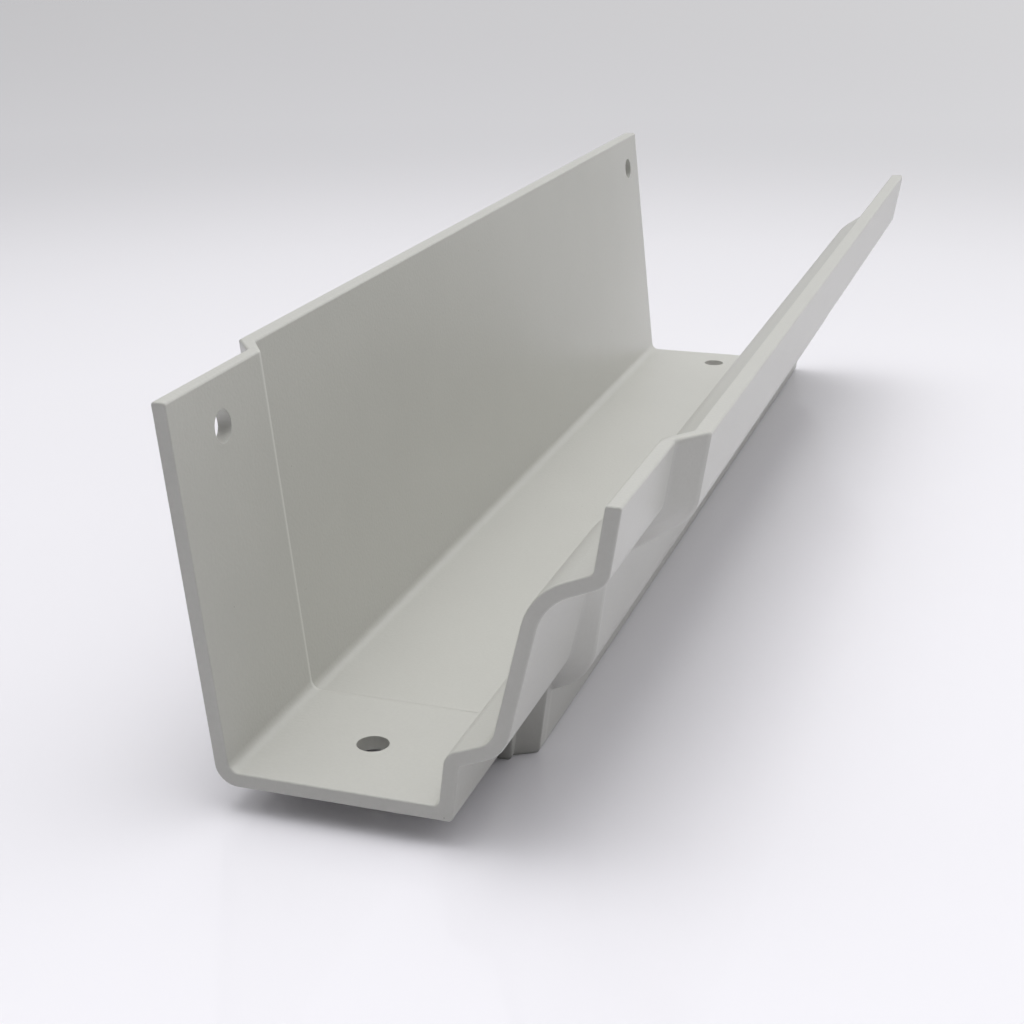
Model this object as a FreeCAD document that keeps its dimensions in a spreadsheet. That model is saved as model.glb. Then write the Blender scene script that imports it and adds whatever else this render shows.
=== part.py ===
# Short length of moulded ogee gutter with a joggled spigot end and four fixing holes.
# X runs across the gutter, from the back wall to the front lip, with 0 half way across its width.
# Y runs along the gutter, from the spigot end to the open end, with 0 at half its length.
# Z is up, with 0 at the underside of the sole. Millimetres.
import FreeCAD, Part
import enum
import math
import os
import Sketcher

NODE = "gutter_section"
X_AXIS, Z_AXIS = FreeCAD.Vector(1, 0, 0), FreeCAD.Vector(0, 0, 1)

SIZES = {
    # whole piece
    "overall_length": 442,
    "overall_width": 125.4,
    "overall_height": 104.6,
    "lip_height": 90.9,
    # outside outline of the trough, side by side from the back wall to the lip
    "back_setout": 10.9,
    "sole_width": 72,
    "upstand_setout": 2.1,
    "upstand_height": 16.5,
    "ledge_run": 10.75,
    "ledge_rise": 4.2,
    "ogee_run": 4.45,
    "ogee_rise": 33.4,
    "shelf_rise": 14.8,
    "lip_setout": 3.8,
    "lip_setout_height": 24.3,
    # ogee and shelf of the outline that the spigot is set back from, otherwise the trough's
    "spigot_ogee_run": 11.36,
    "spigot_ogee_rise": 47.9,
    "spigot_shelf_rise": 6.5,
    # thickness, and the room between the spigot and the wall that it laps
    "wall": 4.7,
    "shelf_wall": 10.4,
    "spigot_wall": 3.8,
    "back_clearance": 1.8,
    "bed_clearance": 2.7,
    "face_clearance": 1,
    "lip_clearance": 2.1,
    # spigot, then the joggle: a riser under the sole, the web behind it, and the other sides' ramps
    "spigot_length": 45,
    "sole_riser": 1.5,
    "riser_web": 2.5,
    "toe_ramp": 3.5,
    "side_ramp": 8.5,
    # bends of the section, on its outside unless the name says otherwise
    "heel_radius": 6,
    "toe_radius": 1.2,
    "ledge_radius": 0.8,
    "foot_radius": 9.5,
    "crest_radius": 13,
    "lip_radius": 5.5,
    "inside_heel_radius": 3,
    "inside_radius": 1.6,
    "rim_radius": 0.8,
    "arris_radius": 0.5,
    # fixing holes, and the length that the spigot goes into the open end of the next length
    "hole_diameter": 8.4,
    "hole_end_distance": 24.5,
    "lap_length": 41,
    "sole_hole_from_heel": 37,
    "back_hole_drop": 13.9,
}

# Sides of the section from the back wall to the lip, each with its thickness in the trough and the
# clearance outside it on the spigot. The spigot's shelf is dimensioned where it lies.
SIDES = {
    "back": ("wall", "back_clearance"),
    "sole": ("wall", "bed_clearance"),
    "upstand": ("wall", "face_clearance"),
    "ledge": ("wall", "bed_clearance"),
    "ogee": ("wall", "face_clearance"),
    "shelf": ("shelf_wall", None),
    "lip": ("wall", "lip_clearance"),
}

# Stations along the gutter. The holes near the open end meet the spigot holes of a length lapped there.
SPIGOT_START = "-Sizes.overall_length / 2"
SPIGOT_END = f"{SPIGOT_START} + Sizes.spigot_length"
WEB_START = f"{SPIGOT_END} + Sizes.sole_riser"
RAMP_START = f"{WEB_START} + Sizes.riser_web"
TOE_END = f"{RAMP_START} + Sizes.toe_ramp"
TROUGH_START = f"{RAMP_START} + Sizes.side_ramp"
SPIGOT_HOLE = f"{SPIGOT_START} + Sizes.hole_end_distance"
OPEN_END_HOLE = "Sizes.overall_length / 2 - (Sizes.lap_length - Sizes.hole_end_distance)"

# Shares of the step from the spigot to the trough.
NONE, ALL = "0", "1"
SOME = "Sizes.toe_ramp / Sizes.side_ramp"

# Sections, each with its station and the share of the step that the sole's underside, the sole's top,
# the upstand and the other sides have taken there.
SECTIONS = {
    "spigot_outline": (SPIGOT_START, NONE, NONE, NONE, NONE),
    "joggle_start": (SPIGOT_END, NONE, NONE, NONE, NONE),
    "web_start": (WEB_START, ALL, NONE, NONE, NONE),
    "web_end": (RAMP_START, ALL, NONE, NONE, NONE),
    "toe_end": (TOE_END, ALL, ALL, ALL, SOME),
    "joggle_end": (TROUGH_START, ALL, ALL, ALL, ALL),
    "trough_outline": (TROUGH_START, ALL, ALL, ALL, ALL),
}


class Point(enum.IntEnum):
    """Point of a curve, as a sketch constraint numbers it."""
    START = 1
    END = 2
    CENTRE = 3


def make_sheet(doc):
    sheet = doc.addObject("Spreadsheet::Sheet", "Sizes")
    for row, (alias, number) in enumerate(SIZES.items(), start=1):
        sheet.set(f"A{row}", alias)
        sheet.set(f"B{row}", str(number))
        sheet.setAlias(f"B{row}", alias)
    doc.recompute()
    return sheet


def value(owner, expression):
    """Number that an expression on the sheet's cells has now."""
    return float(owner.evalExpression(expression))


def blend(spigot, trough, share):
    """Expression that goes from the spigot's value to the trough's as the share goes from none to all."""
    ends = {NONE: spigot, ALL: trough}
    return ends.get(share, f"(({spigot}) * (1 - {share}) + ({trough}) * {share})")


def origin_plane(body, role):
    return next(feature for feature in body.Origin.OriginFeatures if feature.Role == role)


def new_sketch(body, name, plane):
    sketch = body.newObject("Sketcher::SketchObject", name)
    sketch.AttachmentSupport = [(origin_plane(body, plane), "")]
    sketch.MapMode = "FlatFace"
    return sketch


def bind(sketch, expression, *constraint):
    """Add a constraint whose size follows an expression."""
    index = sketch.addConstraint(Sketcher.Constraint(*constraint, value(sketch, expression)))
    sketch.setExpression(f"Constraints[{index}]", expression)


def draw_datum(sketch, share):
    """Sharp-cornered outline that the sides are set back from, as construction lines."""
    heel = ("-Sizes.overall_width / 2 + Sizes.back_setout", "0")
    toe = (f"{heel[0]} + Sizes.sole_width", "0")
    ledge = (f"{toe[0]} + Sizes.upstand_setout", "Sizes.upstand_height")
    foot = (f"{ledge[0]} + Sizes.ledge_run", f"{ledge[1]} + Sizes.ledge_rise")
    run = blend("Sizes.spigot_ogee_run", "Sizes.ogee_run", share)
    rise = blend("Sizes.spigot_ogee_rise", "Sizes.ogee_rise", share)
    crest = (f"{foot[0]} + {run}", f"{foot[1]} + {rise}")
    root_height = f"{crest[1]} + {blend('Sizes.spigot_shelf_rise', 'Sizes.shelf_rise', share)}"
    lip_lean = "Sizes.lip_setout / Sizes.lip_setout_height"
    root = (f"Sizes.overall_width / 2 - (Sizes.lip_height - ({root_height})) * {lip_lean}", root_height)
    back_top = ("-Sizes.overall_width / 2", "Sizes.overall_height")
    lip_top = ("Sizes.overall_width / 2", "Sizes.lip_height")
    expressions = [back_top, heel, toe, ledge, foot, crest, root, lip_top]
    points = [FreeCAD.Vector(value(sketch, x), value(sketch, z), 0) for x, z in expressions]
    lines = []
    for first, second in zip(points, points[1:]):
        lines.append(sketch.addGeometry(Part.LineSegment(first, second), True))
    for before, after in zip(lines, lines[1:]):
        sketch.addConstraint(Sketcher.Constraint("Coincident", before, Point.END, after, Point.START))
    ends = [(lines[0], Point.START)] + [(line, Point.END) for line in lines]
    for (line, end), (x, z) in zip(ends, expressions):
        bind(sketch, x, "DistanceX", line, end)
        if z == "0":
            sketch.addConstraint(Sketcher.Constraint("PointOnObject", line, end, -1))
        else:
            bind(sketch, z, "DistanceY", line, end)
    return lines, points


def crossing(first, second):
    """Point where two lines meet, each given by a point and a unit direction."""
    (start, along), (other, across) = first, second
    gap = other - start
    share = (gap.x * across.y - gap.y * across.x) / (along.x * across.y - along.y * across.x)
    return start + along * share


def rounded_corner(corner, before, after, radius):
    """Arc that rounds a corner, its two tangent points, and the arc's end that meets the line before."""
    turn = before.x * after.y - before.y * after.x
    reach = radius * math.tan(before.getAngle(after) / 2)
    entry, leave = corner - before * reach, corner + after * reach
    side = math.copysign(radius, turn)
    centre = entry + FreeCAD.Vector(-before.y, before.x, 0) * side
    arc_start, arc_end, meets_before = (entry, leave, Point.START) if turn > 0 else (leave, entry, Point.END)
    angles = [math.atan2(point.y - centre.y, point.x - centre.x) for point in (arc_start, arc_end)]
    return Part.ArcOfCircle(Part.Circle(centre, Z_AXIS, radius), *angles), entry, leave, meets_before


def section_courses(datum, underside, top, upstand, rest):
    """Sides of the closed section in order: datum line, distance from it, direction of travel."""
    outer_shares = {"sole": underside, "upstand": upstand}
    inner_shares = {"sole": top, "upstand": upstand}
    outside, inside = [], []
    for line, (side, (thickness, clearance)) in zip(datum, SIDES.items()):
        setback = f"Sizes.{thickness} + Sizes.{clearance}" if clearance else "0"
        outer = blend(setback, "0", outer_shares.get(side, rest))
        inner = blend(f"{setback} + Sizes.spigot_wall", f"Sizes.{thickness}", inner_shares.get(side, rest))
        outside.append((line, outer, 1))
        inside.insert(0, (line, inner, -1))
    return outside + [(None, "Sizes.lip_height", -1)] + inside + [(None, "Sizes.overall_height", -1)]


def section_radii(share):
    """Radii of the section's corners, outside from heel to lip, then inside back to the heel."""
    foot = blend("Sizes.foot_radius", "Sizes.foot_radius + Sizes.wall + Sizes.face_clearance", share)
    root = blend("Sizes.lip_radius", "Sizes.lip_radius + Sizes.wall", share)
    outside = ["Sizes.heel_radius", "Sizes.toe_radius", "Sizes.ledge_radius",
               foot, "Sizes.crest_radius", root]
    thickness = blend("Sizes.spigot_wall", "Sizes.wall", share)
    inside = ["Sizes.inside_radius", f"Sizes.crest_radius + {thickness}", f"{foot} - {thickness}",
              f"Sizes.ledge_radius + {thickness}", "Sizes.inside_radius", "Sizes.inside_heel_radius"]
    rim = ["Sizes.rim_radius", "Sizes.rim_radius"]
    return outside + rim + inside + rim


def side_rays(sketch, points, courses):
    """Point and unit direction of each side before its corners are rounded."""
    rays = []
    for line, distance, travel in courses:
        if line is None:
            rays.append((FreeCAD.Vector(0, value(sketch, distance), 0), X_AXIS * travel))
            continue
        along = (points[line + 1] - points[line]).normalize()
        inward = FreeCAD.Vector(-along.y, along.x, 0)
        rays.append((points[line] + inward * value(sketch, distance), along * travel))
    return rays


def draw_section(body, name):
    """Closed section at its station, its sides parallel to the datum and every corner rounded."""
    station, *shares = SECTIONS[name]
    sketch = new_sketch(body, name, "XZ_Plane")
    sketch.setExpression("AttachmentOffset.Base.z", f"-({station})")
    datum, points = draw_datum(sketch, shares[-1])
    courses = section_courses(datum, *shares)
    radii = section_radii(shares[-1])
    rays = side_rays(sketch, points, courses)

    corners = []
    for before, after, radius in zip(rays, rays[1:] + rays[:1], radii):
        corners.append(rounded_corner(crossing(before, after), before[1], after[1], value(sketch, radius)))
    sides = []
    for previous, corner in zip([corners[-1]] + corners[:-1], corners):
        sides.append(sketch.addGeometry(Part.LineSegment(previous[2], corner[1]), False))
    arcs = [sketch.addGeometry(corner[0], False) for corner in corners]

    for side, (line, distance, travel) in zip(sides, courses):
        if line is None:
            sketch.addConstraint(Sketcher.Constraint("Horizontal", side))
            bind(sketch, distance, "DistanceY", side, Point.START)
        elif distance == "0":
            sketch.addConstraint(Sketcher.Constraint("PointOnObject", line, Point.START, side))
            sketch.addConstraint(Sketcher.Constraint("PointOnObject", line, Point.END, side))
        else:
            sketch.addConstraint(Sketcher.Constraint("Parallel", side, line))
            bind(sketch, distance, "Distance", side, Point.START, line)
    for side, following, arc, corner, radius in zip(sides, sides[1:] + sides[:1], arcs, corners, radii):
        meets_before = corner[3]
        meets_after = Point.END if meets_before == Point.START else Point.START
        sketch.addConstraint(Sketcher.Constraint("Tangent", side, Point.END, arc, meets_before))
        sketch.addConstraint(Sketcher.Constraint("Tangent", arc, meets_after, following, Point.START))
        bind(sketch, radius, "Radius", arc)
    return sketch


def make_run(body, name, run_length):
    """Straight stretch of the gutter from its outline towards the open end."""
    outline = draw_section(body, f"{name}_outline")
    pad = body.newObject("PartDesign::Pad", name)
    pad.Profile = outline
    pad.Reversed = True
    pad.setExpression("Length", run_length)
    return pad


def make_joggle(body):
    start = draw_section(body, "joggle_start")
    others = [draw_section(body, name) for name in ("web_start", "web_end", "toe_end", "joggle_end")]
    loft = body.newObject("PartDesign::AdditiveLoft", "joggle")
    loft.Profile = start
    loft.Sections = others
    loft.Ruled = True
    return loft


def drill(body, sketch, centres):
    """Fixing holes through the wall that the sketch lies under, one at each centre."""
    radius = value(sketch, "Sizes.hole_diameter / 2")
    for across, up in centres:
        centre = FreeCAD.Vector(value(sketch, across), value(sketch, up), 0)
        circle = sketch.addGeometry(Part.Circle(centre, Z_AXIS, radius), False)
        bind(sketch, across, "DistanceX", circle, Point.CENTRE)
        bind(sketch, up, "DistanceY", circle, Point.CENTRE)
        bind(sketch, "Sizes.hole_diameter", "Diameter", circle)
    cut = body.newObject("PartDesign::Pocket", f"{sketch.Name}_cut")
    cut.Profile = sketch
    cut.Reversed = True
    cut.setExpression("Length", "2 * (Sizes.wall + Sizes.bed_clearance + Sizes.spigot_wall)")


def drill_sole(body):
    sketch = new_sketch(body, "sole_holes", "XY_Plane")
    across = "-Sizes.overall_width / 2 + Sizes.back_setout + Sizes.sole_hole_from_heel"
    drill(body, sketch, [(across, SPIGOT_HOLE), (across, OPEN_END_HOLE)])


def drill_back(body):
    """Holes square to the leaning back wall, their drop measured down its outside."""
    sketch = new_sketch(body, "back_holes", "YZ_Plane")
    sketch.AttachmentOffset = FreeCAD.Placement(FreeCAD.Vector(), FreeCAD.Rotation(-X_AXIS, 1))
    sketch.setExpression("AttachmentOffset.Rotation.Angle", "atan(Sizes.back_setout / Sizes.overall_height)")
    sketch.setExpression("AttachmentOffset.Base.y", "Sizes.overall_height")
    sketch.setExpression("AttachmentOffset.Base.z", "-Sizes.overall_width / 2")
    down = "-Sizes.back_hole_drop"
    drill(body, sketch, [(SPIGOT_HOLE, down), (OPEN_END_HOLE, down)])


def soften_ends(body):
    """Small round on the arrises of both end faces."""
    half = value(body, "Sizes.overall_length / 2")
    drilled = body.Tip
    names = []
    for number, edge in enumerate(drilled.Shape.Edges, start=1):
        box = edge.BoundBox
        if abs(abs(box.YMin) - half) < 1e-6 and box.YLength < 1e-6:
            names.append(f"Edge{number}")
    fillet = body.newObject("PartDesign::Fillet", "end_arrises")
    fillet.Base = (drilled, names)
    fillet.setExpression("Radius", "Sizes.arris_radius")
    return fillet


def check(doc, body):
    """Stop if a feature failed or the piece has no valid solid."""
    for item in doc.Objects:
        if "Invalid" in item.State or "Error" in item.State:
            raise RuntimeError(f"{item.Label}: {item.State}")
    if body.Shape.isNull() or not body.Shape.isValid() or len(body.Shape.Solids) != 1:
        raise RuntimeError(f"{body.Label}: not one valid solid")


def main():
    doc = FreeCAD.newDocument("gutter")
    make_sheet(doc)
    body = doc.addObject("PartDesign::Body", NODE)
    body.Label = NODE
    make_run(body, "spigot", "Sizes.spigot_length")
    make_joggle(body)
    joggled_length = "Sizes.spigot_length + Sizes.sole_riser + Sizes.riser_web + Sizes.side_ramp"
    make_run(body, "trough", f"Sizes.overall_length - ({joggled_length})")
    drill_sole(body)
    drill_back(body)
    doc.recompute()
    soften_ends(body)
    doc.recompute()
    check(doc, body)
    os.makedirs("parts", exist_ok=True)
    body.Shape.exportStep(f"parts/{body.Label}.step")


main()
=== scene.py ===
import math

import bpy
from mathutils import Matrix, Vector

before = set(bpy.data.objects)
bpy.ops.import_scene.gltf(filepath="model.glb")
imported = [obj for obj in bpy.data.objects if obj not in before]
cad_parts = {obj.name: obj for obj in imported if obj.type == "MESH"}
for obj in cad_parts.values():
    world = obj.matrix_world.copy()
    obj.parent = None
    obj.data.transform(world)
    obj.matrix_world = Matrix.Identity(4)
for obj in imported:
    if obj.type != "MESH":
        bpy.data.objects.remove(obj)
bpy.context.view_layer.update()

NODE = "gutter_section"
MM = 0.001

# Camera, from the photograph's vanishing points: place, turn to the left, tilt down and roll.
CAMERA_PLACE = Vector((145.38, -558.65, 219.08)) * MM
CAMERA_TURN = 18.698
CAMERA_TILT = 20.292
CAMERA_ROLL = -0.532
SENSOR = 36.0
LENS = 61.523

# Paint: linear colour, gloss, how much its tone varies, and the size of its clouds and orange peel.
PAINT = (0.566, 0.564, 0.532)
PAINT_ROUGHNESS = 0.32
PAINT_IOR = 1.5
TONE_SHARE = 0.05
CLOUD_SIZE = 30 * MM
CLOUD_DETAIL = 3
PEEL_SIZE = 0.9 * MM
PEEL_DETAIL = 1
PEEL_HEIGHT = 0.05 * MM
# A few dark specks of dust that the paint has caught.
SPECK_SPACING = 8 * MM
SPECK_RADIUS = 0.16 * MM
SPECK_PAINT = (0.3, 0.3, 0.27)

# Joggle: where it starts and ends along the part, and how far from there its edges soften.
JOGGLE_START = -172 * MM
JOGGLE_END = -163.5 * MM
JOGGLE_REACH = 5 * MM
# Softening radii of the arrises: everywhere, added on the joggle's arrises, and added in its hollow.
SOFT_RADIUS = 0.25 * MM
ARRIS_RADIUS = 0.9 * MM
HOLLOW_RADIUS = 2.5 * MM
SOFT_SAMPLES = 8
# Painted highlight on the joggle's arrises: linear colour, how far from the arris it ends, over what
# share of that it stays full, and how much of it is left out on the moulding.
ARRIS_HIGHLIGHT = (0.7, 0.698, 0.665)
HIGHLIGHT_WIDTH = 1.2 * MM
HIGHLIGHT_FULL = 0.5
MOULDING_HIGHLIGHT_CUT = 0.65

# Floor in metres: size, linear colour, gloss, and how much painted shade darkens it at each distance
# from the part.
FLOOR_SIZE = 12
FLOOR = (0.908, 0.896, 0.945)
FLOOR_ROUGHNESS = 0.03
FLOOR_IOR = 1.45
FLOOR_PAINTED_SHADE = [
    (0.3, 0.0),
    (0.42, 0.01),
    (0.53, 0.05),
    (0.7, 0.16),
    (0.88, 0.25),
    (1.1, 0.25),
    (2.6, 0.23),
]

# Studio glow: direction that it comes from, how tightly it gathers there, and its brightness.
GLOWS = [
    ((0, 1, 0), 1, 0.57),
    ((0, 0, 1), 4, 1.6),
    ((0, 0, 1), 16, 2.7),
    ((1, 0.85, 0.3), 6, 1.1),
]

# Soft box on the left: place and size in metres, and power in watts.
SOFT_BOX_PLACE = Vector((-1.5, -0.2, 1.0))
SOFT_BOX_SIZE = 1.2
SOFT_BOX_POWER = 2.0


def math_node(tree, operation, *inputs):
    """Output of a maths node whose inputs are sockets or numbers."""
    node = tree.nodes.new("ShaderNodeMath")
    node.operation = operation
    for socket, source in zip(node.inputs, inputs):
        if isinstance(source, bpy.types.NodeSocket):
            tree.links.new(source, socket)
        else:
            socket.default_value = source
    return node.outputs["Value"]


def dot_node(tree, first, second):
    """Output of the dot product of a vector socket and another socket or a fixed vector."""
    node = tree.nodes.new("ShaderNodeVectorMath")
    node.operation = "DOT_PRODUCT"
    tree.links.new(first, node.inputs[0])
    if isinstance(second, bpy.types.NodeSocket):
        tree.links.new(second, node.inputs[1])
    else:
        node.inputs[1].default_value = second
    return node.outputs["Value"]


def mix_node(tree, share, first, second):
    """Output of a colour mix whose ends are sockets or linear colours."""
    node = tree.nodes.new("ShaderNodeMix")
    node.data_type = "RGBA"
    tree.links.new(share, node.inputs["Factor"])
    for socket, source in ((node.inputs["A"], first), (node.inputs["B"], second)):
        if isinstance(source, bpy.types.NodeSocket):
            tree.links.new(source, socket)
        else:
            socket.default_value = (*source, 1)
    return node.outputs["Result"]


def noise_node(tree, place, size, detail):
    """Output of a noise whose largest grain has a size."""
    node = tree.nodes.new("ShaderNodeTexNoise")
    node.inputs["Scale"].default_value = 1 / size
    node.inputs["Detail"].default_value = detail
    tree.links.new(place, node.inputs["Vector"])
    return node.outputs["Fac"]


def band_node(tree, source, centre, reach):
    """Output that is 1 where a socket has the centre's value, and 0 from a reach away from it."""
    away = math_node(tree, "ABSOLUTE", math_node(tree, "SUBTRACT", source, centre))
    return math_node(tree, "MAXIMUM", math_node(tree, "MULTIPLY_ADD", away, -1 / reach, 1), 0)


def new_material(name, colour, roughness, ior):
    """New material with its node tree and its shader."""
    material = bpy.data.materials.new(name)
    material.use_nodes = True
    tree = material.node_tree
    shader = tree.nodes["Principled BSDF"]
    shader.inputs["Base Color"].default_value = (*colour, 1)
    shader.inputs["Roughness"].default_value = roughness
    shader.inputs["IOR"].default_value = ior
    return material, tree, shader


def soft_normal(tree, along, front, arris):
    """Normal with softened arrises: wider on the joggle's arrises, and wider still in its hollow."""
    on_arris = band_node(tree, along, arris, JOGGLE_REACH)
    in_hollow = math_node(tree, "MULTIPLY", band_node(tree, along, JOGGLE_START, JOGGLE_REACH), front)
    radius = math_node(tree, "MULTIPLY_ADD", on_arris, ARRIS_RADIUS, SOFT_RADIUS)
    radius = math_node(tree, "MULTIPLY_ADD", in_hollow, HOLLOW_RADIUS, radius)
    soft = tree.nodes.new("ShaderNodeBevel")
    soft.samples = SOFT_SAMPLES
    tree.links.new(radius, soft.inputs["Radius"])
    return soft.outputs["Normal"]


def painted_highlight_share(tree, along, front, arris):
    """Share of painted highlight, on the back wall's inside and the moulding's outside, which look
    forward.
    """
    face = tree.nodes.new("ShaderNodeNewGeometry").outputs["Normal"]
    forward = math_node(tree, "MAXIMUM", dot_node(tree, face, (1, 0, 0)), 0)
    band = band_node(tree, along, arris, HIGHLIGHT_WIDTH)
    line = math_node(tree, "MINIMUM", math_node(tree, "MULTIPLY", band, 1 / (1 - HIGHLIGHT_FULL)), 1)
    kept = math_node(tree, "MULTIPLY_ADD", front, -MOULDING_HIGHLIGHT_CUT, 1)
    return math_node(tree, "MULTIPLY", math_node(tree, "MULTIPLY", line, forward), kept)


def speck_share(tree, place):
    """Output that is 1 on the specks and 0 elsewhere."""
    specks = tree.nodes.new("ShaderNodeTexVoronoi")
    specks.inputs["Scale"].default_value = 1 / SPECK_SPACING
    tree.links.new(place, specks.inputs["Vector"])
    return math_node(tree, "LESS_THAN", specks.outputs["Distance"], SPECK_RADIUS / SPECK_SPACING)


def paint_material():
    """Satin powder paint: uneven tone, a few specks, painted highlights on the joggle arrises and a
    fine orange peel.
    """
    material, tree, shader = new_material("satin_paint", PAINT, PAINT_ROUGHNESS, PAINT_IOR)
    place = tree.nodes.new("ShaderNodeTexCoord").outputs["Object"]
    along = dot_node(tree, place, (0, 1, 0))
    # The arris that shows is at the joggle's start on the back wall, and at its end on the front.
    front = math_node(tree, "GREATER_THAN", dot_node(tree, place, (1, 0, 0)), 0)
    arris = math_node(tree, "MULTIPLY_ADD", front, JOGGLE_END - JOGGLE_START, JOGGLE_START)

    peel = noise_node(tree, place, PEEL_SIZE, PEEL_DETAIL)
    clouds = noise_node(tree, place, CLOUD_SIZE, CLOUD_DETAIL)
    tone = math_node(tree, "MULTIPLY", math_node(tree, "ADD", clouds, peel), 0.5)
    dark = [channel * (1 - TONE_SHARE) for channel in PAINT]
    light = [channel * (1 + TONE_SHARE) for channel in PAINT]
    colour = mix_node(tree, tone, dark, light)
    # Painted highlight: a lighter colour along the joggle's arris, only on faces that look towards +X.
    colour = mix_node(tree, painted_highlight_share(tree, along, front, arris), colour, ARRIS_HIGHLIGHT)
    colour = mix_node(tree, speck_share(tree, place), colour, SPECK_PAINT)
    tree.links.new(colour, shader.inputs["Base Color"])

    bump = tree.nodes.new("ShaderNodeBump")
    bump.inputs["Distance"].default_value = PEEL_HEIGHT
    tree.links.new(peel, bump.inputs["Height"])
    tree.links.new(soft_normal(tree, along, front, arris), bump.inputs["Normal"])
    tree.links.new(bump.outputs["Normal"], shader.inputs["Normal"])
    return material


def floor_material():
    """Glossy pale sheet, at its own colour around the part and with painted shade far from it."""
    material, tree, shader = new_material("floor_white", FLOOR, FLOOR_ROUGHNESS, FLOOR_IOR)
    place = tree.nodes.new("ShaderNodeNewGeometry").outputs["Position"]
    distance = math_node(tree, "SQRT", dot_node(tree, place, place))
    near, far = FLOOR_PAINTED_SHADE[0][0], FLOOR_PAINTED_SHADE[-1][0]
    ramp = tree.nodes.new("ShaderNodeValToRGB")
    ramp.color_ramp.interpolation = "B_SPLINE"
    stops = ramp.color_ramp.elements
    for reach, _ in FLOOR_PAINTED_SHADE[1:-1]:
        stops.new((reach - near) / (far - near))
    for stop, (_, shade) in zip(stops, FLOOR_PAINTED_SHADE):
        stop.color = (shade, shade, shade, 1)
    along = math_node(tree, "DIVIDE", math_node(tree, "SUBTRACT", distance, near), far - near)
    tree.links.new(along, ramp.inputs["Fac"])
    # Painted shade: the floor's colour is mixed towards black, more so further from the part.
    tree.links.new(mix_node(tree, ramp.outputs["Color"], FLOOR, (0, 0, 0)), shader.inputs["Base Color"])
    return material


def add_floor():
    bpy.ops.mesh.primitive_plane_add(size=FLOOR_SIZE)
    floor = bpy.context.object
    floor.name = "floor"
    floor.data.materials.append(floor_material())


def add_camera():
    data = bpy.data.cameras.new("camera")
    data.sensor_width = SENSOR
    data.lens = LENS
    camera = bpy.data.objects.new("camera", data)
    bpy.context.scene.collection.objects.link(camera)
    turn = Matrix.Rotation(math.radians(CAMERA_TURN), 4, "Z")
    tilt = Matrix.Rotation(math.radians(90 - CAMERA_TILT), 4, "X")
    roll = Matrix.Rotation(math.radians(CAMERA_ROLL), 4, "Z")
    camera.matrix_world = Matrix.Translation(CAMERA_PLACE) @ turn @ tilt @ roll
    bpy.context.scene.camera = camera


def add_soft_box():
    data = bpy.data.lights.new("soft_box", "AREA")
    data.size = SOFT_BOX_SIZE
    data.energy = SOFT_BOX_POWER
    lamp = bpy.data.objects.new("soft_box", data)
    bpy.context.scene.collection.objects.link(lamp)
    facing = (-SOFT_BOX_PLACE).to_track_quat("-Z", "Y").to_matrix().to_4x4()
    lamp.matrix_world = Matrix.Translation(SOFT_BOX_PLACE) @ facing


def add_glow():
    """Studio dome that is bright above and behind the part and dark on the camera's side."""
    world = bpy.data.worlds.new("studio")
    bpy.context.scene.world = world
    world.use_nodes = True
    tree = world.node_tree
    background = tree.nodes["Background"]
    direction = tree.nodes.new("ShaderNodeTexCoord").outputs["Generated"]
    total = None
    for source, gather, brightness in GLOWS:
        facing = math_node(tree, "MAXIMUM", dot_node(tree, direction, Vector(source).normalized()), 0)
        gathered = math_node(tree, "POWER", facing, gather)
        glow = math_node(tree, "MULTIPLY", gathered, brightness)
        total = math_node(tree, "ADD", total, glow) if total else glow
    background.inputs["Color"].default_value = (1, 1, 1, 1)
    tree.links.new(total, background.inputs["Strength"])


def main():
    bpy.context.scene.view_settings.view_transform = "Standard"
    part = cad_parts[NODE]
    paint = paint_material()
    for slot in part.material_slots:
        slot.material = paint
    if not part.material_slots:
        part.data.materials.append(paint)
    add_floor()
    add_camera()
    add_soft_box()
    add_glow()


main()
